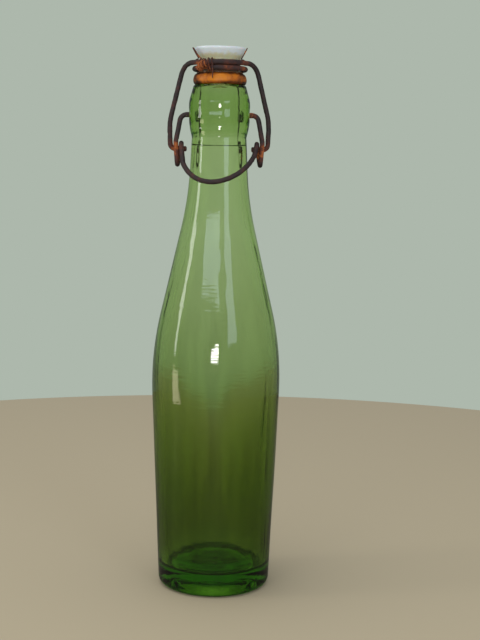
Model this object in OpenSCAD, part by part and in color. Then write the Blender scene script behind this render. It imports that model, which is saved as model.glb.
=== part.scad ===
// Swing-stopper bottle: green blown-glass bottle, porcelain stopper, rubber ring and iron wire closure.
// The origin is the middle of the ring that the bottle stands on, +Z is up, and the handle loop is at -Y.

/* [Bottle] */
// Height of the glass, from the table to the top of the lip
bottle_h = 268.6; // [223:0.2:324]
// Width across the heel
heel_d = 60; // [50:0.2:70]
// Rounding of the heel
heel_round = 4; // [1:0.5:6]
// Width across the widest part of the belly
belly_d = 69; // [57:0.5:84]
// Height at which the lower body meets the shoulder
belly_z = 127; // [105:1:153]
// Radius of the curve over the belly
belly_round = 175; // [60:5:200]
// Width of the neck where the shoulder runs into it
neck_root_d = 32.2; // [30:0.2:40]
// Width of the neck just under the finish
neck_d = 28.8; // [26:0.2:34]
// Length of the neck, from the shoulder to the finish
neck_h = 33.2; // [27:0.2:42]
// Radius of the hollow curve from the shoulder into the neck
neck_round = 190; // [60:5:220]
// Glass thickness of the body
body_wall = 2.4; // [1.8:0.1:3.5]
// Glass thickness of the neck
neck_wall = 3.2; // [2.4:0.1:4]
// Glass thickness at the edge of the floor
floor_t = 12.5; // [10.5:0.5:15]
// Width of the hollow under the base
hollow_d = 41; // [34:1:46]
// Depth of the hollow under the base
hollow_h = 4.5; // [2:0.5:6]

/* [Finish] */
// Height of the thick finish, from the neck to the lip
finish_h = 27.2; // [22:0.2:33]
// Width across the finish
finish_d = 32.6; // [27:0.2:40]
// Width across the lip
lip_d = 27.4; // [25:0.2:30]
// Bore of the mouth
mouth_d = 19; // [16:0.2:21]
// Depth of the side sockets below the lip
socket_drop = 15.4; // [12.8:0.1:18.5]
// Depth of glass that each side socket goes in
socket_depth = 3.5; // [2.5:0.1:4.2]

/* [Stopper] */
// Width across the top of the porcelain
head_d = 27; // [24:0.2:32]
// Height of the flared head above its groove
head_h = 5.9; // [4:0.1:8]
// Width of the porcelain in the groove that holds the wire
groove_d = 21.4; // [19:0.2:23]
// Width of the flange that presses on the rubber
flange_d = 24.4; // [23:0.2:27]
// Depth that the plug reaches into the mouth
plug_depth = 3; // [2:0.1:3.6]
// Room between the plug and the mouth
plug_clear = 1.6; // [1.3:0.1:2]
// Width across the rubber ring
ring_d = 28.4; // [26:0.2:34]
// Height of the rubber ring
ring_h = 6; // [5:0.1:7.2]

/* [Wires] */
// Thickness of the bail and lever wire
wire_d = 2.6; // [2.1:0.1:3.2]
// Thickness of the pins at the ends of both wires
pin_d = 2.8; // [2.2:0.1:3.4]
// Radius of the bail's collar, to the middle of the wire
collar_r = 13.3; // [12.8:0.1:16]
// Distance from the lever's pivot to the bail's pins
crank = 17.8; // [14.8:0.1:21.4]
// How far the bail's pins lie behind the lever's pivot when shut
over_centre = 1; // [0:0.1:2]
// Distance from the finish to the lever's arms, to the middle of the wire
arm_out = 6.5; // [5:0.1:8]
// How much the lever's arms spread from the pivot down to the eyes
arm_spread = 2.6; // [0:0.1:3.5]
// Free space between the bail's arms and the lever's arms
arm_gap = 0.3; // [0.3:0.1:1.5]
// How far the handle loop hangs below the bail's pins
loop_drop = 19.2; // [16:0.2:23]
// How much higher the handle loop hangs on its right side, as bent by use
loop_skew = 5; // [0:0.1:6]
// Length of the lever's eyes below the bail's pins
eye_drop = 8.2; // [6:0.1:10]

/* [Binding] */
// Thickness of the thin tie wire
tie_d = 0.6; // [0.5:0.05:0.8]
// Turns of the tie wire round the two strands
tie_turns = 5; // [3:1:6]

/* [Hidden] */

// Clearances: wire beside wire, pin in its socket, wire in front of the neck, rubber on the plug
wire_gap = 0.25;
pin_fit = 0.06;
neck_gap = 0.4;
ring_fit = 0.05;
tie_fit = 0.1;
seat_gap = 0.2;

// Levels of the closure
lip_z = bottle_h;
finish_z = bottle_h - finish_h;
pivot_z = lip_z - socket_drop;
eye_z = pivot_z - sqrt(crank * crank - over_centre * over_centre);
ring_top = lip_z + ring_h;
lower_z = ring_top + seat_gap + tie_d + tie_fit + wire_d / 2 + 0.1;
strand_step = wire_d + wire_gap;
upper_z = lower_z + strand_step;
head_z = upper_z + wire_d / 2 + 0.85;
top_z = head_z + head_h;

// Sides of the closure
lever_x = finish_d / 2 + arm_out;
strand_x = lever_x - strand_step;
bail_x = lever_x + wire_d + arm_gap;
pin_bend = 2.6;
tip_x = strand_x - wire_d / 2 - 1.6;
eye_r = pin_d / 2 + wire_d / 2 + 0.2;
socket_x = finish_d / 2 - socket_depth;

function unit(v) = v / norm(v);
function smooth(u) = let(v = min(1, max(0, u))) v * v * (3 - 2 * v);

// Points of an arc that rounds one corner. It takes at most reach_share of the shorter run beside it.
reach_share = 0.47;
function corner_arc(before, corner, after, r, step) =
  let(
    a = unit(corner - before),
    b = unit(after - corner),
    turn = acos(max(-1, min(1, a * b))),
    most = reach_share * min(norm(corner - before), norm(after - corner)),
    t = min(r * tan(turn / 2), most)
  )
  turn < 0.5 || r == 0 ? [corner] :
  let(
    radius = t / tan(turn / 2),
    inward = unit(b - a * (a * b)),
    centre = corner - a * t + inward * radius,
    n = max(2, ceil(turn / step))
  )
  [for (i = [0:n]) centre + radius * (a * sin(turn * i / n) - inward * cos(turn * i / n))];

// A line through corners, each rounded with its own radius
function rounded(corners, radii, step) = [
  for (i = [0:len(corners) - 1])
    each i == 0 || i == len(corners) - 1
      ? [corners[i]]
      : corner_arc(corners[i - 1], corners[i], corners[i + 1], radii[i], step)
];

// A frame that turns as little as possible is carried along the line, from its first point to its last
function tangent(p, i) = unit(p[min(i + 1, len(p) - 1)] - p[max(i - 1, 0)]);
function side_of(t) = unit(cross(t, abs(t.z) < 0.9 ? [0, 0, 1] : [1, 0, 0]));
function carried(u, t) = unit(u - t * (t * u));
function sides(p, i = 0, u = undef) =
  let(now = i == 0 ? side_of(tangent(p, 0)) : carried(u, tangent(p, i)))
  i == len(p) - 1 ? [now] : concat([now], sides(p, i + 1, now));

// One unbroken round tube along a line of points
module tube(p, d, n) {
  u = sides(p);
  rings = [
    for (i = [0:len(p) - 1])
      let(v = cross(tangent(p, i), u[i]))
      for (k = [0:n - 1]) p[i] + d / 2 * (u[i] * cos(360 * k / n) + v * sin(360 * k / n))
  ];
  last = len(p) - 1;
  faces = concat(
    [for (i = [0:last - 1], k = [0:n - 1])
      each let(a = i * n + k, b = i * n + (k + 1) % n) [[a, a + n, b + n], [a, b + n, b]]],
    [for (k = [1:n - 2]) [0, k, k + 1]],
    [for (k = [1:n - 2]) [last * n, last * n + k + 1, last * n + k]]
  );
  polyhedron(points = rings, faces = faces, convexity = 10);
}

// Glass. Each outline runs upwards, and its corners are rounded afterwards.
shoulder_z = finish_z - neck_h;
lower_slope = atan((belly_d - heel_d) / 2 / belly_z);
upper_slope = atan((belly_d - neck_root_d) / 2 / (shoulder_z - belly_z));
// The corner lies outside the curve, which swells to belly_d where it runs upright
belly_cut = cos((upper_slope - lower_slope) / 2) / cos((upper_slope + lower_slope) / 2) - 1;
belly_r = belly_d / 2 + belly_round * belly_cut;
outer_corners = [
  [0, hollow_h], [0.35 * hollow_d, hollow_h], [hollow_d / 2, 0], [heel_d / 2, 0],
  [belly_r, belly_z], [neck_root_d / 2, shoulder_z], [neck_d / 2, finish_z],
  [finish_d / 2 - 0.8, finish_z + 0.17 * finish_h], [finish_d / 2 + 0.15, finish_z + 0.42 * finish_h],
  [finish_d / 2 - 0.45, finish_z + 0.72 * finish_h], [lip_d / 2 + 0.5, finish_z + 0.93 * finish_h],
  [lip_d / 2, lip_z], [mouth_d / 2 + 1.2, lip_z]
];
outer_radii = [0, 14, 1.5, heel_round, belly_round, neck_round, 1.2, 8, 30, 14, 3, 1.2, 0];
inner_corners = [
  [mouth_d / 2 + 1.2, lip_z], [mouth_d / 2, lip_z - 1.6], [mouth_d / 2 + 0.4, finish_z - 1],
  [neck_d / 2 - neck_wall, finish_z - 4], [neck_root_d / 2 - neck_wall, shoulder_z],
  [belly_r - body_wall, belly_z], [heel_d / 2 - body_wall, floor_t - 1],
  [0.42 * heel_d, floor_t - 1], [0.32 * heel_d, floor_t + 3], [0, floor_t + 4]
];
inner_radii = [0, 2, 1, 2, neck_round, belly_round, 5, 4, 8, 0];
round_step = 12;
slow_step = 2.5;
function outline(c, r) = [
  for (i = [0:len(c) - 1])
    each i == 0 || i == len(c) - 1
      ? [c[i]]
      : corner_arc(c[i - 1], c[i], c[i + 1], r[i], r[i] > 50 ? slow_step : round_step)
];
outer_line = outline(outer_corners, outer_radii);
inner_line = outline(inner_corners, inner_radii);
// Radius of the glass outside at one height
function outside_r(z) = lookup(z, [for (p = outer_line) if (p.y > heel_round && p.y < lip_z - 2) [p.y, p.x]]);

module bottle() {
  socket_d = pin_d + 2 * pin_fit;
  crater_r = 1.5;
  color([0.42, 0.58, 0.24, 0.6])
  difference() {
    rotate_extrude($fn = 96) polygon(concat(outer_line, [for (i = [1:len(inner_line) - 1]) inner_line[i]]));
    for (s = [-1, 1]) translate([s * socket_x, 0, pivot_z]) rotate([0, s * 90, 0]) {
      cylinder(d = socket_d, h = socket_depth + 3, $fn = 32);
      translate([0, 0, socket_depth - crater_r])
        cylinder(d1 = socket_d - 0.2, d2 = socket_d + 2 * (crater_r + 1), h = crater_r + 1, $fn = 32);
    }
  }
}

// Porcelain: the plug's side line is shared by the rubber ring that fits it
plug_r = mouth_d / 2 - plug_clear;
root_r = plug_r + 1.9;
function plug_side(z) = plug_r + (root_r - plug_r) * (z - lip_z) / ring_h;

module stopper() {
  tip_z = lip_z - plug_depth;
  flange_t = 0.4;
  corners = [
    [0, tip_z], [0.55 * plug_r, tip_z], [plug_r, lip_z], [root_r, ring_top], [flange_d / 2, ring_top],
    [flange_d / 2, ring_top + flange_t], [groove_d / 2, lower_z - 0.7], [groove_d / 2, head_z - 1.5],
    [0.39 * head_d, head_z], [head_d / 2, top_z - 1], [head_d / 2, top_z], [0, top_z + 0.3]
  ];
  radii = [0, 1.5, 3, 0, 0.1, 0.15, 1.2, 3, 4, 1.5, 0.9, 0];
  color([0.93, 0.94, 0.95])
  rotate_extrude($fn = 96) polygon(rounded(corners, radii, 15));
}

module gasket() {
  foot_r = plug_r + 0.8;
  crown_r = root_r + 0.3;
  bulge = ring_d / 2;
  line = rounded([[foot_r, lip_z], [bulge, lip_z], [bulge, ring_top], [crown_r, ring_top]], [0, 2.6, 2.6, 0], 15);
  hole = [[root_r + ring_fit, ring_top], [plug_side(lip_z) + ring_fit, lip_z]];
  color([0.76, 0.4, 0.12])
  rotate_extrude($fn = 96) polygon(concat(line, hole));
}

// Collar of the bail. Both arms leave it at the upper level on tangents at the front, and the wire between
// them makes one and a quarter turns. The start and the end cross at the front left, a strand_step apart.
peel_x = collar_r + 4.9;
peel = acos(collar_r / peel_x);
start_a = -180 + peel;
cross_w = 30;
collar_step = 15;
end_a = 360 - peel;
// Share of the way from one level to the other, and how far the last strand swings out to pass the first
function swap(a) = smooth((a - start_a) / cross_w);
function bump(a) =
  let(v = ((a - start_a) / cross_w + 0.25) / 1.5)
  v < 0 || v > 1 ? 0 : strand_step * pow(sin(180 * v), 2);
function around(a, r, z) = [r * cos(a), r * sin(a), z];
function first_at(a) = [collar_r, upper_z - strand_step * swap(a)];
function last_at(a) = [collar_r + bump(a), lower_z + strand_step * swap(a)];
function first_strand(a) = let(q = first_at(a)) around(a, q.x, q.y);
function last_strand(a) = let(q = last_at(a - 360)) around(a, q.x, q.y);
collar_line = concat(
  [for (a = [start_a:cross_w / 6:start_a + cross_w - 0.1]) first_strand(a)],
  [for (a = [start_a + cross_w:collar_step:start_a + 360 - cross_w / 4 - 0.1]) around(a, collar_r, lower_z)],
  [for (a = [start_a + 360 - cross_w / 4:cross_w / 8:start_a + 360 + 1.25 * cross_w]) last_strand(a)],
  [for (a = [start_a + 360 + 1.5 * cross_w:collar_step:end_a - 5]) around(a, collar_r, upper_z)],
  [around(end_a, collar_r, upper_z)]
);

pin_from = bail_x - pin_bend;
bulge_x = bail_x + 0.5;
bulge_z = eye_z + 14;
// One arm of the bail on the side s, from the root of its pin up to the collar
function arm_line(s) = rounded(
  [
    [s * pin_from, over_centre, eye_z], [s * bail_x, over_centre, eye_z],
    [s * bulge_x, over_centre / 2, bulge_z], [s * (peel_x + 0.5), -0.3, upper_z],
    around(s < 0 ? start_a : end_a, collar_r, upper_z)
  ],
  [0, pin_bend, 34, 9, 0], 15
);
function reversed(p) = [for (i = [len(p) - 1:-1:0]) p[i]];
function without_last(p) = [for (i = [0:len(p) - 2]) p[i]];

module cross_pin(s, from, to, y, z) {
  translate([s * from, y, z]) rotate([0, s * 90, 0]) cylinder(d = pin_d, h = to - from, $fn = 32);
}

module bail_wire() {
  left = arm_line(-1);
  right = reversed(arm_line(1));
  color([0.3, 0.16, 0.12]) {
    tube(concat(without_last(left), without_last(collar_line), right), wire_d, 12);
    for (s = [-1, 1]) cross_pin(s, tip_x, pin_from, over_centre, eye_z);
  }
}

// Lever: a pin in the glass, an arm, a long eye whose end crosses over the bail's pin, and the handle loop
arm_bend = 3.5;
arm_low = 3.4;
arm_tuck = 0.9;
lever_pin_to = lever_x - arm_spread - arm_bend;
eye_bottom = eye_z - eye_drop;
loop_y = -(outside_r(eye_z - loop_drop + loop_skew / 2) + wire_d / 2 + neck_gap);
loop_root = 1.5;
loop_start = 20;
loop_step = 10;
// The handle loop is half an ellipse that leans forwards and down, and its right side hangs higher
function loop_point(w) =
  let(x = -strand_x * cos(w), y = over_centre - eye_r)
  [
    x, y + (loop_y - y) * sin(w),
    eye_z - loop_root - (loop_drop - loop_root) * sin(w) + loop_skew * smooth((x / strand_x + 1) / 2)
  ];
function side_line(s) = rounded(
  [
    [s * lever_pin_to, 0, pivot_z], [s * (lever_x - arm_spread), 0, pivot_z],
    [s * lever_x, over_centre - eye_r, eye_z + arm_low],
    [s * (lever_x - arm_tuck), over_centre - eye_r, eye_bottom],
    [s * (lever_x - arm_tuck), over_centre + eye_r, eye_bottom],
    [s * strand_x, over_centre + eye_r, eye_z + eye_r], [s * strand_x, over_centre - eye_r, eye_z + eye_r],
    loop_point(90 + s * (90 - loop_start))
  ],
  [0, arm_bend, 8, eye_r, eye_r, eye_r, eye_r, 0], 15
);
loop_line = [for (w = [loop_start + loop_step:loop_step:180 - loop_start - loop_step]) loop_point(w)];

module lever_wire() {
  color([0.33, 0.18, 0.13]) {
    tube(concat(side_line(-1), loop_line, reversed(side_line(1))), wire_d, 12);
    for (s = [-1, 1]) cross_pin(s, socket_x + 0.2, lever_pin_to, 0, pivot_z);
  }
}

// Tie wire: a whisker at the right, a run round the back on the collar, a doubled whisker at the left,
// the turns round both strands at the crossing, and a tail that hangs over the rubber ring
tie_r = wire_d / 2 + tie_fit + tie_d / 2;
tie_top = upper_z + tie_r;
turn_points = 24;
turns_from = start_a + 1;
turns_to = start_a + cross_w;
// A strand that runs at a slant is wider across the turn, by this much in and out and up and down
function slant(before, after, step) = [for (k = [0, 1]) norm([1, (after[k] - before[k]) / step])];
function wound(a, turn) =
  let(
    step = 2 * PI / 180 * collar_r,
    inner = first_at(a),
    outer = last_at(a),
    wide_in = slant(first_at(a - 1), first_at(a + 1), step),
    wide_out = slant(last_at(a - 1), last_at(a + 1), step),
    middle = (inner + outer) / 2,
    half = (outer - inner) / 2,
    way = [cos(turn), sin(turn)],
    share = max(-1, min(1, 3 * (way * unit(half)))),
    wide = [for (k = [0, 1]) share > 0 ? wide_out[k] : wide_in[k]],
    at = middle + half * share + (tie_r + 0.08) * [way.x * wide.x, way.y * wide.y]
  )
  around(a, at.x, at.y);
turn_line = [
  for (i = [0:(tie_turns + 0.25) * turn_points])
    wound(turns_from + (turns_to - turns_from) * i / tie_turns / turn_points, 90 - 360 * i / turn_points)
];
run_line = [for (a = [-30:12:start_a + 360 - 18]) around(a, collar_r - 0.6, tie_top)];
right_whisker = [around(-24, 15.4, tie_top + 6), around(-28, 14.2, tie_top + 3), around(-32, 13.2, tie_top + 0.6)];
left_whisker = [
  around(-147, 13.4, tie_top + 0.5), around(-152, 14.2, tie_top + 2.6), around(-156, 15.3, tie_top + 5.2),
  around(-154, 15.8, tie_top + 5.7), around(-151.5, 15.5, tie_top + 5.2), around(-147, 14.3, tie_top + 2.6),
  around(-142, 13.4, tie_top + 0.6)
];
tail_a = turns_to + 2.2;
tail_r = max(collar_r + tie_r, ring_d / 2 + tie_d / 2) + 0.4;
tail_line = [
  around(tail_a, tail_r + 0.3, (lower_z + upper_z) / 2), around(tail_a + 0.4, tail_r + 0.2, lower_z),
  around(tail_a + 0.6, tail_r, ring_top - 1), around(tail_a + 0.5, tail_r, ring_top - 3.4)
];
tie_line = concat(right_whisker, run_line, left_whisker, turn_line, tail_line);

module binding_wire() {
  color([0.25, 0.12, 0.08]) tube(tie_line, tie_d, 6);
}

// Least gap of the tie wire to itself, between points that lie more than a turn's quarter apart along it
tie_gap = min([
  for (i = [0:len(tie_line) - 1], j = [i + turn_points / 2:1:len(tie_line) - 1])
    norm(tie_line[i] - tie_line[j]) - tie_d
]);
echo(tie_gap = tie_gap);

bottle();
stopper();
gasket();
bail_wire();
lever_wire();
binding_wire();
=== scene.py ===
import math

import bpy
import numpy as np
from mathutils import Matrix


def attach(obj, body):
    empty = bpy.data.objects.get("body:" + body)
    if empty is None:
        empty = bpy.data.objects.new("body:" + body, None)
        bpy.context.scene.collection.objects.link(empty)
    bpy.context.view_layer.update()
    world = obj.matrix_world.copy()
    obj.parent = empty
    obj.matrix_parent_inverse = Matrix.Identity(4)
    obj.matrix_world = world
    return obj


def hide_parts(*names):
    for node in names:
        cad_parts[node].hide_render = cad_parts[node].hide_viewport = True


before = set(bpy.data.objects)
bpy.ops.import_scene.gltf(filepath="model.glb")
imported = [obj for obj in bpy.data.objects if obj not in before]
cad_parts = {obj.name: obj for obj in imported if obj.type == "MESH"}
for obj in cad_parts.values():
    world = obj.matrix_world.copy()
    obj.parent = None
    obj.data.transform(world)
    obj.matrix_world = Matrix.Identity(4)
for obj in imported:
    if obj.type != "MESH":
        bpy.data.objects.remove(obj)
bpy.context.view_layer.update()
print("frame loaded")

mm = 0.001

# The photograph's camera, in mm and degrees. focalPixels belongs to its 480 x 640 frame.
cameraSetup = {
    "focalPixels": 1200,
    "distance": 640.5,
    "height": 223.3,
    "tiltDown": 7.0,
    "turnRight": 1.12,
    "roll": 0.9,
}


def makeCamera(s):
    # Right, up and back are worked out from the turn and the tilt, then rolled about the line of sight
    turn, tilt, roll = (math.radians(s[k]) for k in ("turnRight", "tiltDown", "roll"))
    ahead = np.array([math.sin(turn) * math.cos(tilt), math.cos(turn) * math.cos(tilt), -math.sin(tilt)])
    right = np.array([math.cos(turn), -math.sin(turn), 0])
    up = np.cross(right, ahead)
    rolledRight = math.cos(roll) * right + math.sin(roll) * up
    rolledUp = math.cos(roll) * up - math.sin(roll) * right
    data = bpy.data.cameras.new("photoCamera")
    data.sensor_width = 36
    data.lens = 36 * s["focalPixels"] / 640
    data.clip_start, data.clip_end = 0.01, 20
    camera = bpy.data.objects.new("photoCamera", data)
    bpy.context.scene.collection.objects.link(camera)
    place = Matrix.Identity(4)
    for row in range(3):
        place[row][0], place[row][1], place[row][2] = rolledRight[row], rolledUp[row], -ahead[row]
    place[1][3], place[2][3] = -s["distance"] * mm, s["height"] * mm
    camera.matrix_world = place
    bpy.context.scene.camera = camera


makeCamera(cameraSetup)
print("camera set")


# Shapes

def unitRows(v):
    # Each vector divided by its length
    return v / np.maximum(np.linalg.norm(v, axis=-1, keepdims=True), 1e-12)


def smoothStep(u):
    # 3u^2 - 2u^3, held at 0 and 1 outside
    u = np.clip(u, 0, 1)
    return u * u * (3 - 2 * u)


def softNoise(points, cell, seed):
    # A fixed random value at each corner of cubes of that size, blended smoothly between the corners, from -1 to 1
    q = points / cell + 31.7 * seed
    base = np.floor(q).astype(np.int64)
    f = q - base
    f = f * f * (3 - 2 * f)
    total = np.zeros(points.shape[:-1])
    for corner in range(8):
        d = np.array([corner & 1, corner >> 1 & 1, corner >> 2 & 1])
        c = base + d
        h = (c[..., 0] * 73856093) ^ (c[..., 1] * 19349663) ^ (c[..., 2] * 83492791) ^ (seed * 2654435)
        h = ((h ^ (h >> 13)) * 1274126177) & 0x7FFFFFFF
        value = ((h ^ (h >> 16)) & 0xFFFF) / 32767.5 - 1
        total += value * np.prod(np.where(d, f, 1 - f), axis=-1)
    return total


def cornerArc(before, corner, after, radius, step, share=0.47):
    # The arc that touches both runs beside the corner, taking at most a share of the shorter run
    a, b = unitRows(corner - before), unitRows(after - corner)
    turn = math.acos(np.clip(a @ b, -1, 1))
    if radius == 0 or turn < math.radians(0.5):
        return corner[None]
    most = share * min(np.linalg.norm(corner - before), np.linalg.norm(after - corner))
    reach = min(radius * math.tan(turn / 2), most)
    r = reach / math.tan(turn / 2)
    inward = unitRows(b - a * (a @ b))
    centre = corner - a * reach + inward * r
    t = np.linspace(0, turn, max(2, math.ceil(math.degrees(turn) / step)) + 1)[:, None]
    return centre + r * (a * np.sin(t) - inward * np.cos(t))


def roundedLine(corners, radii, step=3):
    # Straight runs between the corners, each corner rounded with its own radius
    c = np.array(corners, float)
    inner = [cornerArc(c[i - 1], c[i], c[i + 1], radii[i], step) for i in range(1, len(c) - 1)]
    return np.concatenate([c[:1], *inner, c[-1:]])


def spacedLine(line, longest, sharpest, extra=None):
    # Points along a line, at most longest apart, turning at most sharpest degrees from one to the next.
    # extra gives a finer spacing where it is wanted, as points per mm.
    steps = np.diff(line, axis=0)
    length = np.linalg.norm(steps, axis=1)
    line, steps = line[np.concatenate([[True], length > 1e-9])], steps[length > 1e-9]
    length = length[length > 1e-9]
    heading = unitRows(steps)
    bend = np.degrees(np.arccos(np.clip((heading[1:] * heading[:-1]).sum(1), -1, 1)))
    bend = (np.concatenate([[0], bend]) + np.concatenate([bend, [0]])) / 2
    density = 1 / longest + (extra((line[1:] + line[:-1]) / 2) if extra else 0)
    at = np.concatenate([[0], np.cumsum(length * density + bend / sharpest)])
    want = np.linspace(0, at[-1], math.ceil(at[-1]) + 1)
    return np.stack([np.interp(want, at, line[:, k]) for k in range(line.shape[1])], 1)


def turned(profile, angles):
    # Each point (radius, height) of the profile carried round the axis: x = r cos a, y = r sin a, z = height
    r, z = profile[:, 0, None], profile[:, 1, None]
    return np.stack([r * np.cos(angles), r * np.sin(angles), z + 0 * angles], -1)


def tubeRows(path, radius, columns):
    # Rings square to the path. A first guess of each ring's side is turned back by the twist that has built up
    # along the path, so that the rings turn as little as they can.
    t = unitRows(np.gradient(path, axis=0))
    side = unitRows(np.cross(t, np.array([0.31, 0.53, 0.79])))
    mid = t[:-1] + t[1:]
    carried = side[:-1] - mid * ((side[:-1] * t[1:]).sum(1) / (1 + (t[:-1] * t[1:]).sum(1)))[:, None]
    other = np.cross(t, side)
    twist = np.arctan2((carried * other[1:]).sum(1), (carried * side[1:]).sum(1))
    back = np.concatenate([[0], np.cumsum(twist)])[:, None]
    u = side * np.cos(back) + other * np.sin(back)
    v = np.cross(t, u)
    a = np.linspace(0, 2 * math.pi, columns, endpoint=False)[None, :, None]
    return path[:, None] + radius[..., None] * (u[:, None] * np.cos(a) + v[:, None] * np.sin(a))


def endRound(path, radius, reach):
    # How much of the radius is left near both cut ends: a quarter circle of that reach
    s = np.concatenate([[0], np.cumsum(np.linalg.norm(np.diff(path, axis=0), axis=1))])
    near = np.clip(np.minimum(s, s[-1] - s) / reach, 0, 1)
    return radius * (1 - 0.45 * (1 - np.sqrt(1 - (1 - near) ** 2)))


def gridPiece(name, grid, closed, body, nodes, material, marks=None):
    # grid[row, column] in mm. Columns go round. Rows run along, and either close to one point at both ends or
    # run round into the first row again. Faces are wound so that they look outwards. marks gives each row's
    # number for the material.
    rows, columns = grid.shape[:2]
    points = grid.reshape(-1, 3)
    r = np.arange(rows - (0 if closed else 1))[:, None]
    c = np.arange(columns)[None, :]
    down, right = (r + 1) % rows, (c + 1) % columns
    quads = np.stack([r * columns + c, r * columns + right, down * columns + right, down * columns + c], -1)
    faces = quads.reshape(-1, 4).tolist()
    if not closed:
        points = np.concatenate([points, grid[:1].mean(1), grid[-1:].mean(1)])
        first, last, c, right = rows * columns, rows * columns + 1, c[0], right[0]
        faces += np.stack([first + 0 * c, right, c], -1).tolist()
        end = (rows - 1) * columns
        faces += np.stack([end + c, end + right, last + 0 * c], -1).tolist()
    mesh = bpy.data.meshes.new(name)
    mesh.from_pydata((points * mm).tolist(), [], faces)
    mesh.polygons.foreach_set("use_smooth", np.ones(len(faces), bool))
    if marks is not None:
        values = np.concatenate([np.repeat(marks, columns), marks[:1], marks[-1:]]).astype(np.float32)
        mesh.attributes.new("outside", "FLOAT", "POINT").data.foreach_set("value", values)
    mesh.materials.append(material)
    mesh.update()
    piece = bpy.data.objects.new(name, mesh)
    bpy.context.scene.collection.objects.link(piece)
    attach(piece, body)
    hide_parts(*nodes)
    print(name, len(faces), "faces")
    return piece


# Materials

def colour(code):
    # sRGB hex to linear, with full alpha
    s = [int(code[i:i + 2], 16) / 255 for i in (1, 3, 5)]
    return [v / 12.92 if v <= 0.04045 else ((v + 0.055) / 1.055) ** 2.4 for v in s] + [1]


def addNode(material, kind, settings=None, inputs=None, links=None):
    # One node with its settings, its plain input values and its links from other nodes' outputs
    node = material.node_tree.nodes.new(kind)
    for key, value in (settings or {}).items():
        setattr(node, key, value)
    for key, value in (inputs or {}).items():
        node.inputs[key].default_value = value
    for key, output in (links or {}).items():
        material.node_tree.links.new(output, node.inputs[key])
    return node


def newMaterial(name):
    material = bpy.data.materials.new(name)
    material.use_nodes = True
    material.node_tree.nodes.clear()
    return material


def ramp(material, fac, stops):
    # A colour ramp with its stops as (place, hex)
    node = addNode(material, "ShaderNodeValToRGB", links={"Fac": fac})
    elements = node.color_ramp.elements
    elements[0].position, elements[0].color = stops[0][0], colour(stops[0][1])
    elements[1].position, elements[1].color = stops[-1][0], colour(stops[-1][1])
    for place, code in stops[1:-1]:
        elements.new(place).color = colour(code)
    return node.outputs["Color"]


# Soda glass with iron in it, blown in a mould. A thin wall is a light yellow-green, and the colour deepens with
# the glass that the light crosses, so that the finish and the base are a strong green. The body darkens downwards,
# partly where the glass settled, partly painted shade of the shadowed table seen through it. The tints are
# (height in mm, colour): the outside passes that colour each time light crosses it.
glassLook = {"shadeAndTints": [(0, "#c3d8ae"), (14, "#b4cf96"), (25, "#a0b174"), (40, "#a0b274"), (60, "#b0c180"), (88, "#c8d4a8"),
                       (112, "#dde3cf"), (150, "#ebeee1"), (190, "#f4f7ee"), (240, "#f4f7ec"), (250, "#e6ecdb")],
             "absorb": (0.58, 0.82, 0.07), "absorbPerMetre": 95,
             "ripple": (6.0, 90.0), "wrinkle": (7.0, 1.3), "haze": (3.0, 60.0), "rings": (243, 263, 0.7), "residue": 0.08, "band": (0.14, 100, 45)}


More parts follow.
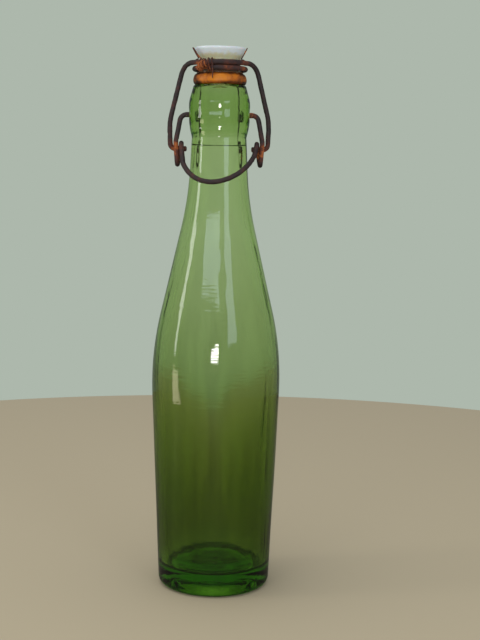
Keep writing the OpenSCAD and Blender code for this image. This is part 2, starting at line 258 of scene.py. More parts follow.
def blownGlass(s):
    m = newMaterial("blownSodaGlass")
    place = addNode(m, "ShaderNodeTexCoord").outputs["Object"]
    height = addNode(m, "ShaderNodeSeparateXYZ", links={"Vector": place}).outputs["Z"]
    up = addNode(m, "ShaderNodeMapRange", inputs={"From Min": 0, "From Max": 0.27}, links={"Value": height}).outputs["Result"]
    # The height ramp darkens the lower body: partly the settled glass, partly painted shade of the table behind
    shadeAndTint = ramp(m, up, [(z / 270, code) for z, code in s["shadeAndTints"]])
    # A surface passes the root of its base colour, so the colour is squared, and the inside is left clear
    outside = addNode(m, "ShaderNodeAttribute", {"attribute_name": "outside"}).outputs["Fac"]
    square = addNode(m, "ShaderNodeVectorMath", {"operation": "MULTIPLY"}, links={0: shadeAndTint, 1: shadeAndTint}).outputs["Vector"]
    # Long upright ripples from the mould, and short wrinkles across them from the chill of its iron
    waves = []
    for (across, along), detail in ((s["ripple"], 2), (s["wrinkle"], 1), (s["haze"], 3)):
        scaled = addNode(m, "ShaderNodeMapping", inputs={"Scale": (1 / across / mm, 1 / across / mm, 1 / along / mm)},
                         links={"Vector": place}).outputs["Vector"]
        waves.append(addNode(m, "ShaderNodeTexNoise", inputs={"Scale": 1, "Detail": detail, "Roughness": 0.4},
                             links={"Vector": scaled}).outputs["Fac"])
    # Upright streaks of darker glass, stronger low down
    streak = addNode(m, "ShaderNodeMapRange", inputs={"From Min": 0.35, "From Max": 0.65, "To Min": 0.66, "To Max": 1},
                     links={"Value": waves[0]}).outputs["Result"]
    low = addNode(m, "ShaderNodeMapRange", inputs={"From Min": 0.07, "From Max": 0.15, "To Min": 1, "To Max": 0.3},
                  links={"Value": height}).outputs["Result"]
    streak = addNode(m, "ShaderNodeMix", {"data_type": "FLOAT"}, {2: 1}, {"Factor": low, 3: streak}).outputs[0]
    square = addNode(m, "ShaderNodeVectorMath", {"operation": "SCALE"}, links={0: square, "Scale": streak}).outputs["Vector"]
    clear = addNode(m, "ShaderNodeMix", {"data_type": "RGBA"}, links={"Factor": outside})
    clear.inputs[6].default_value = (1, 1, 1, 1)
    m.node_tree.links.new(square, clear.inputs[7])
    both = addNode(m, "ShaderNodeMath", {"operation": "MULTIPLY_ADD"}, {1: 0.14}, {0: waves[1], 2: waves[0]}).outputs[0]
    # Low rings round the finish, 8 mm apart, where its mould gripped it
    low, high, depth = s["rings"]
    turn = addNode(m, "ShaderNodeMath", {"operation": "MULTIPLY_ADD"},
                   {1: math.pi / 4 / mm, 2: -math.pi / 4 * (low + 6.2)}, {0: height}).outputs[0]
    ring = addNode(m, "ShaderNodeMath", {"operation": "SINE"}, links={0: turn}).outputs[0]
    under = addNode(m, "ShaderNodeMapRange", {"interpolation_type": "SMOOTHSTEP"},
                    {"From Min": low * mm, "From Max": (low + 3) * mm, "To Max": depth}, {"Value": height}).outputs["Result"]
    to = addNode(m, "ShaderNodeMapRange", {"interpolation_type": "SMOOTHSTEP"},
                 {"From Min": high * mm, "From Max": (high - 3) * mm}, {"Value": height}).outputs["Result"]
    where = addNode(m, "ShaderNodeMath", {"operation": "MULTIPLY"}, links={0: under, 1: to}).outputs[0]
    both = addNode(m, "ShaderNodeMath", {"operation": "MULTIPLY_ADD"}, links={0: ring, 1: where, 2: both}).outputs[0]
    bump = addNode(m, "ShaderNodeBump", inputs={"Strength": 0.55, "Distance": 0.0005}, links={"Height": both})
    film = addNode(m, "ShaderNodeMapRange", inputs={"From Min": 0.45, "From Max": 0.75, "To Min": 0.01, "To Max": 0.06},
                   links={"Value": waves[2]}).outputs["Result"]
    # Inside, a dried film makes the glass misty, most in a band where the bottle last stood half full
    most, middle, spread = s["band"]
    away = addNode(m, "ShaderNodeMath", {"operation": "SUBTRACT"}, {1: middle * mm}, {0: height}).outputs[0]
    away = addNode(m, "ShaderNodeMath", {"operation": "ABSOLUTE"}, links={0: away}).outputs[0]
    misty = addNode(m, "ShaderNodeMapRange", {"interpolation_type": "SMOOTHSTEP"},
                    {"From Min": spread * mm, "From Max": 0.3 * spread * mm, "To Min": s["residue"], "To Max": most},
                    {"Value": away}).outputs["Result"]
    rough = addNode(m, "ShaderNodeMix", {"data_type": "FLOAT"}, links={"Factor": outside, 2: misty, 3: film}).outputs[0]
    shader = addNode(m, "ShaderNodeBsdfPrincipled",
                     inputs={"IOR": 1.52, "Transmission Weight": 1},
                     links={"Base Color": clear.outputs[2], "Roughness": rough, "Normal": bump.outputs["Normal"]})
    body = addNode(m, "ShaderNodeVolumeAbsorption",
                   inputs={"Color": (*s["absorb"], 1), "Density": s["absorbPerMetre"]})
    addNode(m, "ShaderNodeOutputMaterial",
            links={"Surface": shader.outputs["BSDF"], "Volume": body.outputs["Volume"]})
    return m


# Hard-paste porcelain under a clear glaze: a cool white, yellowed low on the head and brown with rust in the groove
porcelainLook = {"white": "#d3dbdd", "yellowed": "#c9c39c", "rust": "#5e3a20", "headFrom": 284.4, "grooveFrom": 281.2, "grooveTo": 272.8,
                 "patch": 3.0}


def glazedPorcelain(s):
    m = newMaterial("glazedPorcelain")
    place = addNode(m, "ShaderNodeTexCoord").outputs["Object"]
    height = addNode(m, "ShaderNodeSeparateXYZ", links={"Vector": place}).outputs["Z"]
    cloud = addNode(m, "ShaderNodeTexNoise", inputs={"Scale": 1 / s["patch"] / mm, "Detail": 4, "Roughness": 0.6},
                    links={"Vector": place}).outputs["Fac"]
    # The height at which each stain ends wanders up and down by about 2 mm
    wander = addNode(m, "ShaderNodeMath", {"operation": "MULTIPLY_ADD"}, {1: -0.004}, {0: cloud, 2: height}).outputs[0]
    stains = []
    for top in (s["headFrom"], s["grooveFrom"]):
        stains.append(addNode(m, "ShaderNodeMapRange", {"interpolation_type": "SMOOTHSTEP"},
                              {"From Min": (top - 1.0) * mm, "From Max": (top - 3.4) * mm},
                              {"Value": wander}).outputs["Result"])
    # The rust stops at the groove's foot: the plug below it is only yellowed
    above = addNode(m, "ShaderNodeMapRange", {"interpolation_type": "SMOOTHSTEP"},
                    {"From Min": (s["grooveTo"] - 1.6) * mm, "From Max": (s["grooveTo"] - 0.4) * mm}, {"Value": wander}).outputs["Result"]
    stains[1] = addNode(m, "ShaderNodeMath", {"operation": "MULTIPLY"}, links={0: stains[1], 1: above}).outputs[0]
    pale = addNode(m, "ShaderNodeMix", {"data_type": "RGBA"}, links={"Factor": stains[0]})
    pale.inputs[6].default_value, pale.inputs[7].default_value = colour(s["white"]), colour(s["yellowed"])
    base = addNode(m, "ShaderNodeMix", {"data_type": "RGBA"}, links={"Factor": stains[1]})
    base.inputs[7].default_value = colour(s["rust"])
    m.node_tree.links.new(pale.outputs[2], base.inputs[6])
    dulled = addNode(m, "ShaderNodeMapRange", inputs={"From Min": 0.3, "From Max": 0.8, "To Min": 0.12, "To Max": 0.3},
                     links={"Value": cloud}).outputs["Result"]
    bump = addNode(m, "ShaderNodeBump", inputs={"Strength": 0.15, "Distance": 0.0002}, links={"Height": cloud})
    shader = addNode(m, "ShaderNodeBsdfPrincipled",
                     inputs={"IOR": 1.5, "Subsurface Weight": 0.15, "Subsurface Scale": 0.001},
                     links={"Base Color": base.outputs[2], "Roughness": dulled, "Normal": bump.outputs["Normal"]})
    addNode(m, "ShaderNodeOutputMaterial", links={"Surface": shader.outputs["BSDF"]})
    return m


# Natural rubber, moulded: orange where it is clean, browned and dulled by age in patches. Painted shade darkens its
# underside on the lip and its left and right sides, which turn away from the light. Under the flange its top is
# darkened partly by rust from the wire and partly by painted shade.
rubberLook = {"orange": "#c9760c", "amber": "#b0600f", "brown": "#6b3712", "deep": "#2f1a0c", "patch": 4.0, "grain": 0.35}


def agedRubber(s):
    m = newMaterial("agedRubber")
    place = addNode(m, "ShaderNodeTexCoord").outputs["Object"]
    split = addNode(m, "ShaderNodeSeparateXYZ", links={"Vector": place})
    cloud = addNode(m, "ShaderNodeTexNoise", inputs={"Scale": 1 / s["patch"] / mm, "Detail": 5, "Roughness": 0.6},
                    links={"Vector": place}).outputs["Fac"]
    grain = addNode(m, "ShaderNodeTexNoise", inputs={"Scale": 1 / s["grain"] / mm, "Detail": 3},
                    links={"Vector": place}).outputs["Fac"]
    # Painted shade: darker on the underside, where the ring sits on the lip
    under = addNode(m, "ShaderNodeMapRange", {"interpolation_type": "SMOOTHSTEP"},
                    {"From Min": 0.2708, "From Max": 0.2692}, {"Value": split.outputs["Z"]}).outputs["Result"]
    # Darker at the top under the flange: partly rust from the wire, partly painted shade
    over = addNode(m, "ShaderNodeMapRange", {"interpolation_type": "SMOOTHSTEP"},
                   {"From Min": 0.2730, "From Max": 0.2744}, {"Value": split.outputs["Z"]}).outputs["Result"]
    # Painted shade: darker towards the left and right sides, where the ring turns away from the light
    sides = addNode(m, "ShaderNodeMath", {"operation": "ABSOLUTE"}, links={0: split.outputs["X"]}).outputs[0]
    sideShade = addNode(m, "ShaderNodeMapRange", {"interpolation_type": "SMOOTHSTEP"},
                   {"From Min": 0.0075, "From Max": 0.0135, "To Max": 0.24}, {"Value": sides}).outputs["Result"]
    # The age patches, with the painted shade of the underside, the top and the sides added on
    ageAndShade = addNode(m, "ShaderNodeMath", {"operation": "MULTIPLY_ADD"}, {1: 0.3}, {0: under, 2: cloud}).outputs[0]
    ageAndShade = addNode(m, "ShaderNodeMath", {"operation": "MULTIPLY_ADD"}, {1: 0.28}, {0: over, 2: ageAndShade}).outputs[0]
    ageAndShade = addNode(m, "ShaderNodeMath", {"operation": "ADD"}, links={0: ageAndShade, 1: sideShade}).outputs[0]
    base = ramp(m, ageAndShade, [(0.42, s["orange"]), (0.58, s["amber"]), (0.78, s["brown"]), (0.98, s["deep"])])
    rough = addNode(m, "ShaderNodeMapRange", inputs={"To Min": 0.25, "To Max": 0.6}, links={"Value": cloud}).outputs["Result"]
    both = addNode(m, "ShaderNodeMath", {"operation": "MULTIPLY_ADD"}, {1: 0.3}, {0: grain, 2: cloud}).outputs[0]
    bump = addNode(m, "ShaderNodeBump", inputs={"Strength": 0.4, "Distance": 0.0003}, links={"Height": both})
    shader = addNode(m, "ShaderNodeBsdfPrincipled", inputs={"IOR": 1.52, "Specular IOR Level": 0.3},
                     links={"Base Color": base, "Roughness": rough, "Normal": bump.outputs["Normal"]})
    addNode(m, "ShaderNodeOutputMaterial", links={"Surface": shader.outputs["BSDF"]})
    return m


# Drawn iron wire with years of rust: a hard dark brown skin, orange and crumbling where it is trapped and damp
rustLook = {"dark": "#251a1b", "brown": "#3a2524", "red": "#5e3020", "orange": "#9c5626", "patch": 4.5, "pit": 0.9, "grit": 0.28}


def rustedIron(name, s, dampSpots, shift):
    m = newMaterial(name)
    place = addNode(m, "ShaderNodeTexCoord").outputs["Object"]
    cloud = addNode(m, "ShaderNodeTexNoise", inputs={"Scale": 1 / s["patch"] / mm, "Detail": 6, "Roughness": 0.62},
                    links={"Vector": place}).outputs["Fac"]
    pits = addNode(m, "ShaderNodeTexNoise", inputs={"Scale": 1 / s["pit"] / mm, "Detail": 4, "Roughness": 0.6},
                   links={"Vector": place}).outputs["Fac"]
    grit = addNode(m, "ShaderNodeTexNoise", inputs={"Scale": 1 / s["grit"] / mm, "Detail": 2},
                   links={"Vector": place}).outputs["Fac"]
    amount = addNode(m, "ShaderNodeMath", {"operation": "MULTIPLY_ADD"}, {1: 0.35}, {0: pits, 2: cloud}).outputs[0]
    # Each damp spot is a ball: full at its centre and gone at its radius, in mm
    for x, y, z, radius, strength in dampSpots:
        away = addNode(m, "ShaderNodeVectorMath", {"operation": "DISTANCE"}, {1: (x * mm, y * mm, z * mm)},
                       {0: place}).outputs["Value"]
        near = addNode(m, "ShaderNodeMapRange", {"interpolation_type": "SMOOTHSTEP"},
                       {"From Min": radius * mm, "From Max": 0.3 * radius * mm, "To Max": strength},
                       {"Value": away}).outputs["Result"]
        amount = addNode(m, "ShaderNodeMath", {"operation": "ADD"}, links={0: amount, 1: near}).outputs[0]
    amount = addNode(m, "ShaderNodeMath", {"operation": "ADD"}, {1: shift}, {0: amount}).outputs[0]
    base = ramp(m, amount, [(0.5, s["dark"]), (0.72, s["brown"]), (0.9, s["red"]), (1.0, s["orange"])])
    rough = addNode(m, "ShaderNodeMapRange", inputs={"From Min": 0.45, "From Max": 0.95, "To Min": 0.5, "To Max": 0.95},
                    links={"Value": amount}).outputs["Result"]
    relief = addNode(m, "ShaderNodeMath", {"operation": "MULTIPLY_ADD"}, {1: 0.5}, {0: grit, 2: pits}).outputs[0]
    bump = addNode(m, "ShaderNodeBump", inputs={"Strength": 0.7, "Distance": 0.0002}, links={"Height": relief})
    shader = addNode(m, "ShaderNodeBsdfPrincipled", inputs={"Metallic": 0.0},
                     links={"Base Color": base, "Roughness": rough, "Normal": bump.outputs["Normal"]})
    addNode(m, "ShaderNodeOutputMaterial", links={"Surface": shader.outputs["BSDF"]})
    return m


# Bottle. Sizes in mm, as in the CAD source, and how uneven the glass is.
bottle = {
    "height": 268.6, "heelWidth": 60, "heelRound": 4, "bellyWidth": 69, "bellyHeight": 127, "bellyRound": 175,
    "neckRoot": 32.2, "neck": 28.8, "neckLength": 33.2, "neckRound": 190, "bodyWall": 4.4, "neckWall": 4.0, "heelWall": 4.0,
    "floor": 12.5, "hollowWidth": 41, "hollowDepth": 4.5, "finish": 27.2, "finishWidth": 32.6, "lip": 27.4,
    "mouth": 19, "socketDrop": 15.4, "socketDepth": 3.5, "socketRadius": 1.46,
    "outerWave": 0.14, "innerWave": 0.4, "finishWave": 0.04, "settled": 1.0, "columns": 240,
}
lipZ = bottle["height"]
finishZ = lipZ - bottle["finish"]
pivotZ = lipZ - bottle["socketDrop"]


def bottleProfile(s):
    # Outside from the axis up to the lip, then the inside down to the axis again, as (radius, height)
    shoulderZ = finishZ - s["neckLength"]
    lower = math.atan((s["bellyWidth"] - s["heelWidth"]) / 2 / s["bellyHeight"])
    upper = math.atan((s["bellyWidth"] - s["neckRoot"]) / 2 / (shoulderZ - s["bellyHeight"]))
    cut = math.cos((upper - lower) / 2) / math.cos((upper + lower) / 2) - 1
    belly = s["bellyWidth"] / 2 + s["bellyRound"] * cut
    heel, hollow, mouth = s["heelWidth"] / 2, s["hollowWidth"] / 2, s["mouth"] / 2
    outer = roundedLine(
        [[0, s["hollowDepth"]], [0.7 * hollow, s["hollowDepth"]], [hollow, 0], [heel, 0], [belly, s["bellyHeight"]],
         [s["neckRoot"] / 2, shoulderZ], [s["neck"] / 2, finishZ],
         [s["finishWidth"] / 2 - 0.8, finishZ + 0.17 * s["finish"]],
         [s["finishWidth"] / 2 + 0.15, finishZ + 0.42 * s["finish"]],
         [s["finishWidth"] / 2 - 0.45, finishZ + 0.72 * s["finish"]],
         [s["lip"] / 2 + 0.5, finishZ + 0.93 * s["finish"]], [s["lip"] / 2, lipZ], [mouth + 1.2, lipZ]],
        [0, 14, 1.5, s["heelRound"], s["bellyRound"], s["neckRound"], 1.2, 8, 30, 14, 3, 1.2, 0], 1)
    inner = roundedLine(
        [[mouth + 1.2, lipZ], [mouth, lipZ - 1.6], [mouth + 0.5, finishZ - 3.3],
         [s["neck"] / 2 - s["neckWall"] + 0.1, finishZ - 3.65], [s["neckRoot"] / 2 - s["neckWall"], shoulderZ],
         [belly - s["bodyWall"], s["bellyHeight"]], [heel - s["heelWall"], s["floor"] - 1],
         [0.72 * heel, s["floor"] - 0.6], [0.655 * heel, s["floor"] + 3.6], [0, s["floor"] + 4.6]],
        [0, 2, 0.4, 0.5, s["neckRound"], s["bellyRound"], 5, 3, 2.2, 0], 1)
    near = lambda p: 2.2 * np.exp(-((p[:, 1] - pivotZ) / 2.6) ** 2) + 1.0 * (p[:, 1] > finishZ - 3)
    return spacedLine(outer, 2.2, 7, near), spacedLine(inner, 2.6, 7)


def bottleShape(s):
    # The profile carried round the axis, with the columns closer together at the two sockets. Long soft waves
    # move the glass in and out, the inside more than the outside, and fade out at the finish and the base.
    u = np.linspace(0, 2 * math.pi, s["columns"], endpoint=False)
    angle = u - 0.225 * np.sin(2 * u)
    outer, inner = bottleProfile(s)
    wave = []
    for line, height in ((outer, s["outerWave"]), (inner, s["innerWave"])):
        z = line[:, 1, None]
        end = finishZ - 2 if line is outer else lipZ - 8
        fade = smoothStep((z - 8) / 25) * smoothStep((end - z) / 12) * line[:, 0, None] / 34
        a = math.pi - angle
        soft = (0.45 * np.sin(3 * a + 0.8 + z / 15) + 0.35 * np.sin(2 * a - z / 10 + 2)
                + 0.3 * np.sin(7 * a + 1.4 * np.sin(z / 23)) + 0.1 * np.sin(13 * a - z / 40 + 4)
                + 0.04 * np.sin(21 * a + z / 60))
        wave.append(height * fade * soft)
    # Three low rings round the finish, left by its mould
    z = outer[:, 1, None]
    wave[0] += (s["finishWave"] * np.sin((z - finishZ - 7.8) * math.pi / 4) * smoothStep((z - finishZ - 1) / 4)
                * smoothStep((lipZ - 5 - z) / 4))
    # The glass settled downwards while it was soft: thicker low down at the sides, thinner in the middle
    z = inner[:, 1, None]
    across = np.cos(angle)
    wave[1] -= (s["settled"] * smoothStep((132 - z) / 55) * smoothStep((z - 28) / 35)
                * (1.1 - 2.0 * np.exp(-((across + 0.08) / 0.36) ** 2) + 0.22 * np.sin(11 * across + 1 + z / 30)))
    grids = [turned(outer, angle), turned(inner, angle)]
    # The ledge under the finish dips at the front
    grids[1][..., 2] -= 0.9 * np.exp(-((z - finishZ + 3.5) / 4) ** 2) * (1 - np.sin(angle)) / 2
    for grid, w in zip(grids, wave):
        grid[..., 0] += w * np.cos(angle)
        grid[..., 1] += w * np.sin(angle)
    out = grids[0]
    # Each socket is a hole as deep as its pin goes, in a shallow crater
    off = np.hypot(out[..., 1], out[..., 2] - pivotZ)
    side = np.sign(out[..., 0]) * (np.abs(out[..., 0]) > 8)
    depth = s["socketDepth"] * (1 - smoothStep((off - s["socketRadius"] - 0.15) / 0.45)) + 0.7 * np.exp(-(off / 2.5) ** 2)
    out[..., 0] -= side * depth * (off < 7)
    grid = np.concatenate([out[1:], grids[1][1:-1]])
    return grid, np.arange(len(grid)) < len(out) - 1


glass = blownGlass(glassLook)
glassGrid, onOutside = bottleShape(bottle)
gridPiece("bottle_glass", glassGrid, False, "bottle", ["bottle"], glass, onOutside)

# Porcelain stopper
stopper = {
    "headWidth": 27, "headHeight": 5.9, "groove": 21.4, "flange": 24.4, "plugDepth": 3, "plugClear": 1.6,
    "ringHeight": 6, "seatGap": 0.2, "columns": 128, "uneven": 0.12,
}
wireWidth, pinWidth, tieWidth, wireGap, tieFit = 2.6, 2.8, 0.6, 0.25, 0.1
ringTop = lipZ + stopper["ringHeight"]
lowerZ = ringTop + stopper["seatGap"] + tieWidth + tieFit + wireWidth / 2 + 0.1
strandStep = wireWidth + wireGap
upperZ = lowerZ + strandStep
headZ = upperZ + wireWidth / 2 + 0.85
topZ = headZ + stopper["headHeight"]
plugRadius = bottle["mouth"] / 2 - stopper["plugClear"]
rootRadius = plugRadius + 1.9


def stopperShape(s):
    # Tip, plug, flange, groove and flared head as one turned profile, with the slight unevenness of thrown clay
    tipZ, flange, groove, head = lipZ - s["plugDepth"], s["flange"] / 2, s["groove"] / 2, s["headWidth"] / 2
    line = roundedLine(
        [[0, tipZ], [0.55 * plugRadius, tipZ], [plugRadius, lipZ], [rootRadius, ringTop], [flange, ringTop],
         [flange, ringTop + 0.4], [groove, lowerZ - 0.7], [groove, headZ - 1.5], [0.78 * head, headZ],
         [head, topZ - 1], [head, topZ], [0, topZ + 0.3]],
        [0, 1.5, 3, 0, 0.1, 0.15, 1.2, 3, 4, 1.5, 0.9, 0], 6)
    line = spacedLine(line, 0.8, 12)
    angle = np.linspace(0, 2 * math.pi, s["columns"], endpoint=False)
    grid = turned(line, angle)
    lift = smoothStep((line[:, 1, None] - headZ) / 3)
    grid[..., :2] *= (1 + lift * s["uneven"] / head * softNoise(grid, 9, 3))[..., None]
    grid[..., 2] += lift * s["uneven"] * softNoise(grid, 11, 4)
    return grid[1:-1]


porcelain = glazedPorcelain(porcelainLook)
gridPiece("stopper_porcelain", stopperShape(stopper), False, "stopper", ["stopper"], porcelain)

# Rubber ring
gasket = {"width": 28.4, "footInset": 2.0, "crownInset": 3.0, "fit": 0.05, "columns": 160, "uneven": 0.22, "lift": 0.03}


def gasketShape(s):
    # A closed profile: the side is two quarter ovals, r = half the width - inset (1 - cos t ^ 0.8), from the foot
    # on the lip up to the crown under the flange, and the hole tapers. The side swells unevenly.
    t = np.radians(np.linspace(-90, 90, 31))
    low = t < 0
    inset = np.where(low, s["footInset"], s["crownInset"])
    foot = lipZ + s["lift"]
    tall = np.where(low, 0.42, 0.58) * (ringTop - foot)
    side = np.stack([s["width"] / 2 - inset * (1 - np.maximum(np.cos(t), 0) ** 0.8),
                     foot + 0.42 * (ringTop - foot) + tall * np.sin(t)], -1)
    crown = s["width"] / 2 - s["crownInset"]
    hole = [[rootRadius + s["fit"], ringTop], [plugRadius + s["fit"], lipZ + s["lift"]]]
    line = spacedLine(np.concatenate([side, hole, side[:1]]), 0.5, 12)[:-1]
    angle = np.linspace(0, 2 * math.pi, s["columns"], endpoint=False)
    grid = turned(line, angle)
    swell = smoothStep((line[:, 0, None] - crown) / 2.5) * s["uneven"] * 2 / s["width"]
    grid[..., :2] *= (1 + swell * (0.6 * softNoise(grid, 5, 7) + 0.4 * softNoise(grid, 1.8, 8) - 0.5))[..., None]
    return grid


rubber = agedRubber(rubberLook)
gridPiece("gasket_rubber", gasketShape(gasket), True, "stopper", ["gasket"], rubber)

# Wires. The routes are those of the CAD source, in mm.
wires = {
    "collarRadius": 13.3, "crank": 17.8, "overCentre": 1.0, "armOut": 6.5, "armSpread": 2.6, "armGap": 0.3,
    "loopDrop": 19.2, "loopSkew": 5, "eyeDrop": 8.2, "pinBend": 2.6, "armBend": 3.5, "armLow": 3.4, "armTuck": 0.9,
    "neckGap": 0.4, "loopRoot": 1.5, "crossing": 30, "spacing": 0.4, "columns": 20, "scale": 0.07, "pitting": 0.05,
}
eyeZ = pivotZ - math.sqrt(wires["crank"] ** 2 - wires["overCentre"] ** 2)
leverX = bottle["finishWidth"] / 2 + wires["armOut"]
strandX = leverX - strandStep
bailX = leverX + wireWidth + wires["armGap"]
tipX = strandX - wireWidth / 2 - 1.6
eyeR = pinWidth / 2 + wireWidth / 2 + 0.2
socketX = bottle["finishWidth"] / 2 - bottle["socketDepth"]
peelX = wires["collarRadius"] + 4.9
peel = math.degrees(math.acos(wires["collarRadius"] / peelX))
startA, endA = -180 + peel, 360 - peel


def around(degrees, radius, z):
    # Points on circles about the bottle's axis
    a = np.radians(degrees)
    return np.stack(np.broadcast_arrays(radius * np.cos(a), radius * np.sin(a), z), -1)


def swap(a):
    return smoothStep((a - startA) / wires["crossing"])


def bump(a):
    # Half a sine squared, as high as one strand, about the middle of the crossing
    v = ((a - startA) / wires["crossing"] + 0.25) / 1.5
    return np.where((v < 0) | (v > 1), 0, strandStep * np.sin(math.pi * v) ** 2)


def bailRoute(s):
    # Pin, arm, one and a quarter turns of collar whose ends cross at the left front, arm, pin
    def arm(side, end):
        return roundedLine(
            [[side * tipX, s["overCentre"], eyeZ], [side * bailX, s["overCentre"], eyeZ],
             [side * (bailX + 0.5), s["overCentre"] / 2, eyeZ + 14], [side * (peelX + 0.5), -0.3, upperZ],
             around(end, s["collarRadius"], upperZ)], [0, s["pinBend"], 34, 9, 0])
    first = np.arange(startA, startA + 359, 3.0)
    last = np.arange(startA + 360, endA, 3.0)
    collar = np.concatenate([
        around(first, s["collarRadius"], upperZ - strandStep * swap(first)),
        around(last, s["collarRadius"] + bump(last - 360), lowerZ + strandStep * swap(last - 360))])
    lead = (first > startA + 360 - s["crossing"] / 4)
    collar[:len(first)][lead] = around(first[lead], s["collarRadius"] + bump(first[lead] - 360), lowerZ)
    return np.concatenate([arm(-1, startA)[:-1], collar, arm(1, endA)[::-1]])


def loopPoint(w, s, loopY):
    # Half an ellipse that leans forwards and down, its right side lifted
    x, y = -strandX * np.cos(w), s["overCentre"] - eyeR
    z = eyeZ - s["loopRoot"] - (s["loopDrop"] - s["loopRoot"]) * np.sin(w) + s["loopSkew"] * smoothStep((x / strandX + 1) / 2)
    return np.stack([x, y + (loopY - y) * np.sin(w), z], -1)


def leverRoute(s):
    # Pin in the glass, arm, long eye round the bail's pin, half the handle loop, and the same again mirrored
    z = eyeZ - s["loopDrop"] + s["loopSkew"] / 2
    outer = bottleProfile(bottle)[0]
    neck = np.interp(z, *outer[(outer[:, 1] > 150) & (outer[:, 1] < finishZ)].T[::-1])
    loopY = -(neck + wireWidth / 2 + s["neckGap"])
    def half(side):
        x, front, back = side * leverX, s["overCentre"] - eyeR, s["overCentre"] + eyeR
        tuck = side * (leverX - s["armTuck"])
        return roundedLine(
            [[side * (socketX + 0.2), 0, pivotZ], [side * (leverX - s["armSpread"]), 0, pivotZ],
             [x, front, eyeZ + s["armLow"]], [tuck, front, eyeZ - s["eyeDrop"]], [tuck, back, eyeZ - s["eyeDrop"]],
             [side * strandX, back, eyeZ + eyeR], [side * strandX, front, eyeZ + eyeR],
             loopPoint(np.radians(90 + side * 70), s, loopY)],
            [0, s["armBend"], 8, eyeR, eyeR, eyeR, eyeR, 0])
    loop = loopPoint(np.radians(np.arange(23, 158, 3.0)), s, loopY)
    return np.concatenate([half(-1), loop, half(1)[::-1]])


def wireShape(route, width, spacing, columns, swelling, s, seed):
    # A round wire along its route. Rust swells it in patches and pits it, and its cut ends are rounded.
    path = spacedLine(route, spacing, 60)
    for _ in range(3):
        path[1:-1] = (path[:-2] + 2 * path[1:-1] + path[2:]) / 4
    radius = endRound(path, (width / 2 + swelling(path)), 0.5)[:, None] * np.ones(columns)
    rings = tubeRows(path, radius, columns)
    grown = s["scale"] * softNoise(rings, 2.6, seed) + s["pitting"] * softNoise(rings, 0.9, seed + 1)
    grown -= 0.12 * smoothStep((softNoise(rings, 1.5, seed + 2) - 0.45) / 0.3)
    return tubeRows(path, radius + grown * (width / wireWidth), columns)


def bailSwelling(path):
    # The pins are a little thicker than the wire
    return 0.1 * smoothStep((bailX - 1.5 - np.abs(path[:, 0])) / 1.5) * (path[:, 2] < eyeZ + 2)


def leverSwelling(path):
    pin = smoothStep((leverX - wires["armSpread"] - 2 - np.abs(path[:, 0])) / 1.5) * (np.abs(path[:, 2] - pivotZ) < 2)
    return 0.1 * pin


# Where the wires trap damp: x, y, z, radius and how much more rust, in mm
eyeSpots = [(-leverX, 0, eyeZ - 1, 9, 0.3), (leverX, 0, eyeZ - 1, 9, 0.3), (-14, 0, pivotZ, 5, 0.22), (15, 0, pivotZ, 7, 0.3)]
collarSpots = [(-9, -10, upperZ - 1, 9, 0.34), (5, -13, upperZ - 1, 7, 0.2), (12, -6, upperZ - 1, 6, 0.25), (0, 10, upperZ, 12, 0.2)]
leverRust = rustedIron("rustedLeverWire", rustLook, eyeSpots, -0.05)
bailRust = rustedIron("rustedBailWire", rustLook, eyeSpots[:2] + collarSpots, -0.06)
gridPiece("bail_wire_iron", wireShape(bailRoute(wires), wireWidth, wires["spacing"], wires["columns"], bailSwelling, wires, 11),
          False, "bail", ["bail_wire"], bailRust)
gridPiece("lever_wire_iron", wireShape(leverRoute(wires), wireWidth, wires["spacing"], wires["columns"], leverSwelling, wires, 21),
          False, "lever", ["lever_wire"], leverRust)

# Tie wire
tie = {"turns": 5.25, "turnPoints": 24, "from": startA + 1, "to": startA + wires["crossing"], "columns": 10, "spacing": 0.22}


def tieRoute(s):
    # Right whisker, a run on the collar round the back, a doubled left whisker, turns round both strands, a tail
    stand = wireWidth / 2 + tieFit + tieWidth / 2
    top = upperZ + stand
    radius = wires["collarRadius"]
    i = np.arange(s["turns"] * s["turnPoints"] + 0.5)
    a = s["from"] + (s["to"] - s["from"]) * i / ((s["turns"] - 0.25) * s["turnPoints"])
    turn = np.radians(90 - 360 * i / s["turnPoints"])
    inner = lambda b: np.stack([radius + 0 * b, upperZ - strandStep * swap(b)], -1)
    outer = lambda b: np.stack([radius + bump(b), lowerZ + strandStep * swap(b)], -1)
    step = math.radians(2) * radius
    slant = lambda f: np.sqrt(1 + ((f(a + 1) - f(a - 1)) / step) ** 2)
    middle, half = (inner(a) + outer(a)) / 2, (outer(a) - inner(a)) / 2
    way = np.stack([np.cos(turn), np.sin(turn)], -1)
    share = np.clip(3 * (way * unitRows(half)).sum(1), -1, 1)[:, None]
    at = middle + half * share + (stand + 0.08) * way * np.where(share > 0, slant(outer), slant(inner))
    wound = around(np.degrees(np.radians(a)), at[:, 0], at[:, 1])
    back = np.arange(-30, startA + 342.1, 6.0)
    run = around(back, radius - 0.6, top)
    right = around(np.array([-24, -28, -32.0]), np.array([15.4, 14.2, 13.2]), np.array([top + 6, top + 3, top + 0.6]))
    left = around(np.array([-147, -152, -156, -154, -151.5, -147, -142.0]),
                  np.array([13.4, 14.2, 15.3, 15.8, 15.5, 14.3, 13.4]),
                  top + np.array([0.5, 2.6, 5.2, 5.7, 5.2, 2.6, 0.6]))
    tailA, tailR = s["to"] + 2.2, max(radius + stand, gasket["width"] / 2 + tieWidth / 2) + 0.4
    tail = around(tailA + np.array([0, 0.4, 0.6, 0.5]), tailR + np.array([0.3, 0.2, 0, 0]),
                  np.array([(lowerZ + upperZ) / 2, lowerZ, ringTop - 1, ringTop - 3.4]))
    return np.concatenate([right, run, left, wound, tail])


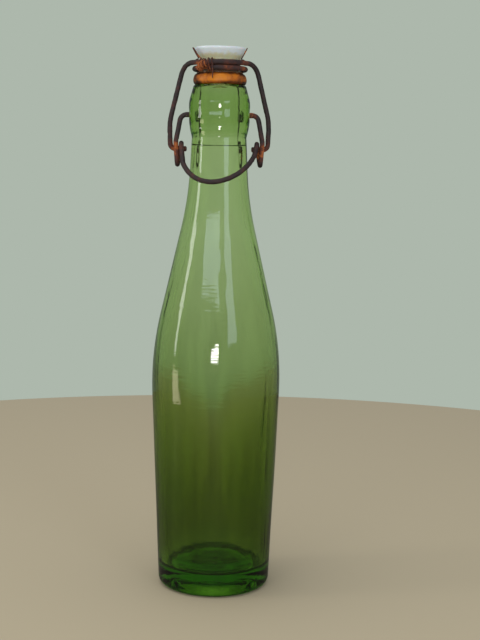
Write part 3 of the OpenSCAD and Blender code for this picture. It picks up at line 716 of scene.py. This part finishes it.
tieRust = rustedIron("rustedTieWire", rustLook, [(-9, -10, upperZ - 1, 9, 0.2)], 0.15)
gridPiece("binding_wire_iron",
          wireShape(tieRoute(tie), tieWidth, tie["spacing"], tie["columns"], lambda p: 0 * p[:, 0], wires, 31),
          False, "bail", ["binding_wire"], tieRust)

# Studio: a round pale table, a plain pale surround and soft light, with a small lamp beside the camera
studio = {"tableRadius": 560, "tableColour": "#b2a488", "surround": "#adb8ac",
          "tableReflected": "#6b6250", "reflected": "#6e766e", "skyStrength": 0.68}


def reflectedOnly(material):
    # 1 for a mirror reflection, 0 for what is seen straight or through the glass
    rays = addNode(material, "ShaderNodeLightPath")
    through = addNode(material, "ShaderNodeMath", {"operation": "SUBTRACT"}, {0: 1}, {1: rays.outputs["Is Transmission Ray"]})
    return addNode(material, "ShaderNodeMath", {"operation": "MULTIPLY"},
                   links={0: rays.outputs["Is Glossy Ray"], 1: through.outputs[0]}).outputs[0]


def makeTable(s):
    # A disc with a rounded rim: the profile runs from the middle of the top over the rim to the middle below
    material = newMaterial("paleTable")
    shader = addNode(material, "ShaderNodeBsdfPrincipled", inputs={"Base Color": colour(s["tableColour"]), "Roughness": 0.8})
    dark = addNode(material, "ShaderNodeBsdfPrincipled", inputs={"Base Color": colour(s["tableReflected"]), "Roughness": 0.8})
    both = addNode(material, "ShaderNodeMixShader",
                   links={0: reflectedOnly(material), 1: shader.outputs["BSDF"], 2: dark.outputs["BSDF"]})
    addNode(material, "ShaderNodeOutputMaterial", links={"Surface": both.outputs[0]})
    line = roundedLine([[0, -22], [s["tableRadius"], -22], [s["tableRadius"], -0.05], [0, -0.05]], [0, 8, 8, 0], 10)
    grid = turned(line, np.linspace(0, 2 * math.pi, 256, endpoint=False))[1:-1]
    rows, columns = grid.shape[:2]
    r, c = np.arange(rows - 1)[:, None], np.arange(columns)[None, :]
    right = (c + 1) % columns
    faces = np.stack([r * columns + c, r * columns + right, (r + 1) * columns + right, (r + 1) * columns + c], -1)
    ends = [list(range(columns))[::-1], list(range((rows - 1) * columns, rows * columns))]
    mesh = bpy.data.meshes.new("table")
    mesh.from_pydata((grid.reshape(-1, 3) * mm).tolist(), [], faces.reshape(-1, 4).tolist() + ends)
    mesh.materials.append(material)
    table = bpy.data.objects.new("table", mesh)
    bpy.context.scene.collection.objects.link(table)


def makeSurround(s):
    # The camera and the glass see the plain surround, and reflections a dimmer one. A white sky lights everything.
    world = bpy.data.worlds.new("surround")
    world.use_nodes = True
    world.node_tree.nodes.clear()
    rays = addNode(world, "ShaderNodeLightPath")
    seen = addNode(world, "ShaderNodeMath", {"operation": "MAXIMUM"},
                   links={0: rays.outputs["Is Camera Ray"], 1: rays.outputs["Is Transmission Ray"]}).outputs[0]
    seen = addNode(world, "ShaderNodeMath", {"operation": "MAXIMUM"}, links={0: seen, 1: rays.outputs["Is Glossy Ray"]}).outputs[0]
    sky = addNode(world, "ShaderNodeBackground", inputs={"Color": (0.93, 0.97, 1, 1), "Strength": s["skyStrength"]})
    plain = addNode(world, "ShaderNodeBackground", inputs={"Color": colour(s["surround"]), "Strength": 1})
    room = addNode(world, "ShaderNodeBackground", inputs={"Color": colour(s["reflected"]), "Strength": 1})
    both = addNode(world, "ShaderNodeMixShader", links={0: seen, 1: sky.outputs[0], 2: plain.outputs[0]})
    both = addNode(world, "ShaderNodeMixShader", links={0: reflectedOnly(world), 1: both.outputs[0], 2: room.outputs[0]})
    addNode(world, "ShaderNodeOutputWorld", links={"Surface": both.outputs[0]})
    bpy.context.scene.world = world


# name, place in mm, width and height in mm, brightness beside white, colour
lamps = [
    ("cameraLamp", (-5, -645, 182), (116, 66), 27, (1, 0.97, 0.92)),
    ("leftWindow", (-386, -1346, 775), (1120, 200), 3.0, (0.74, 0.84, 1)),
    ("rightWindow", (700, -1212, 600), (470, 560), 2.8, (0.74, 0.84, 1)),
    ("leftSlit", (-1180, -210, 430), (230, 560), 5.5, (1, 1, 0.95)),
    ("leftCard", (-382, -117, 55), (130, 90), 4.0, (1, 0.86, 0.62)),
    ("overhead", (-250, -150, 1250), (900, 900), 1.6, (1, 1, 1)),
]


def makeLamp(name, place, size, brightness, tone):
    # Power for an area lamp of that brightness: brightness times pi times its area
    data = bpy.data.lights.new(name, "AREA")
    data.shape = "ELLIPSE" if name == "cameraLamp" else "RECTANGLE"
    data.size, data.size_y = size[0] * mm, size[1] * mm
    data.color = tone
    data.energy = brightness * math.pi * data.size * data.size_y
    lamp = bpy.data.objects.new(name, data)
    bpy.context.scene.collection.objects.link(lamp)
    at = np.array(place) * mm
    back = unitRows(at - np.array([0, 0, 0.15]))
    right = unitRows(np.cross([0, 0, 1.0], back))
    up = np.cross(back, right)
    turn = Matrix.Identity(4)
    for row in range(3):
        turn[row][0], turn[row][1], turn[row][2], turn[row][3] = right[row], up[row], back[row], at[row]
    lamp.matrix_world = turn
    lamp.visible_camera = False
    lamp.visible_transmission = False
    lamp.visible_diffuse = name != "leftCard"  # the card is for the gloss alone


makeTable(studio)
makeSurround(studio)
for lamp in lamps:
    makeLamp(*lamp)
bpy.context.scene.view_settings.view_transform = "Standard"
print("studio set")
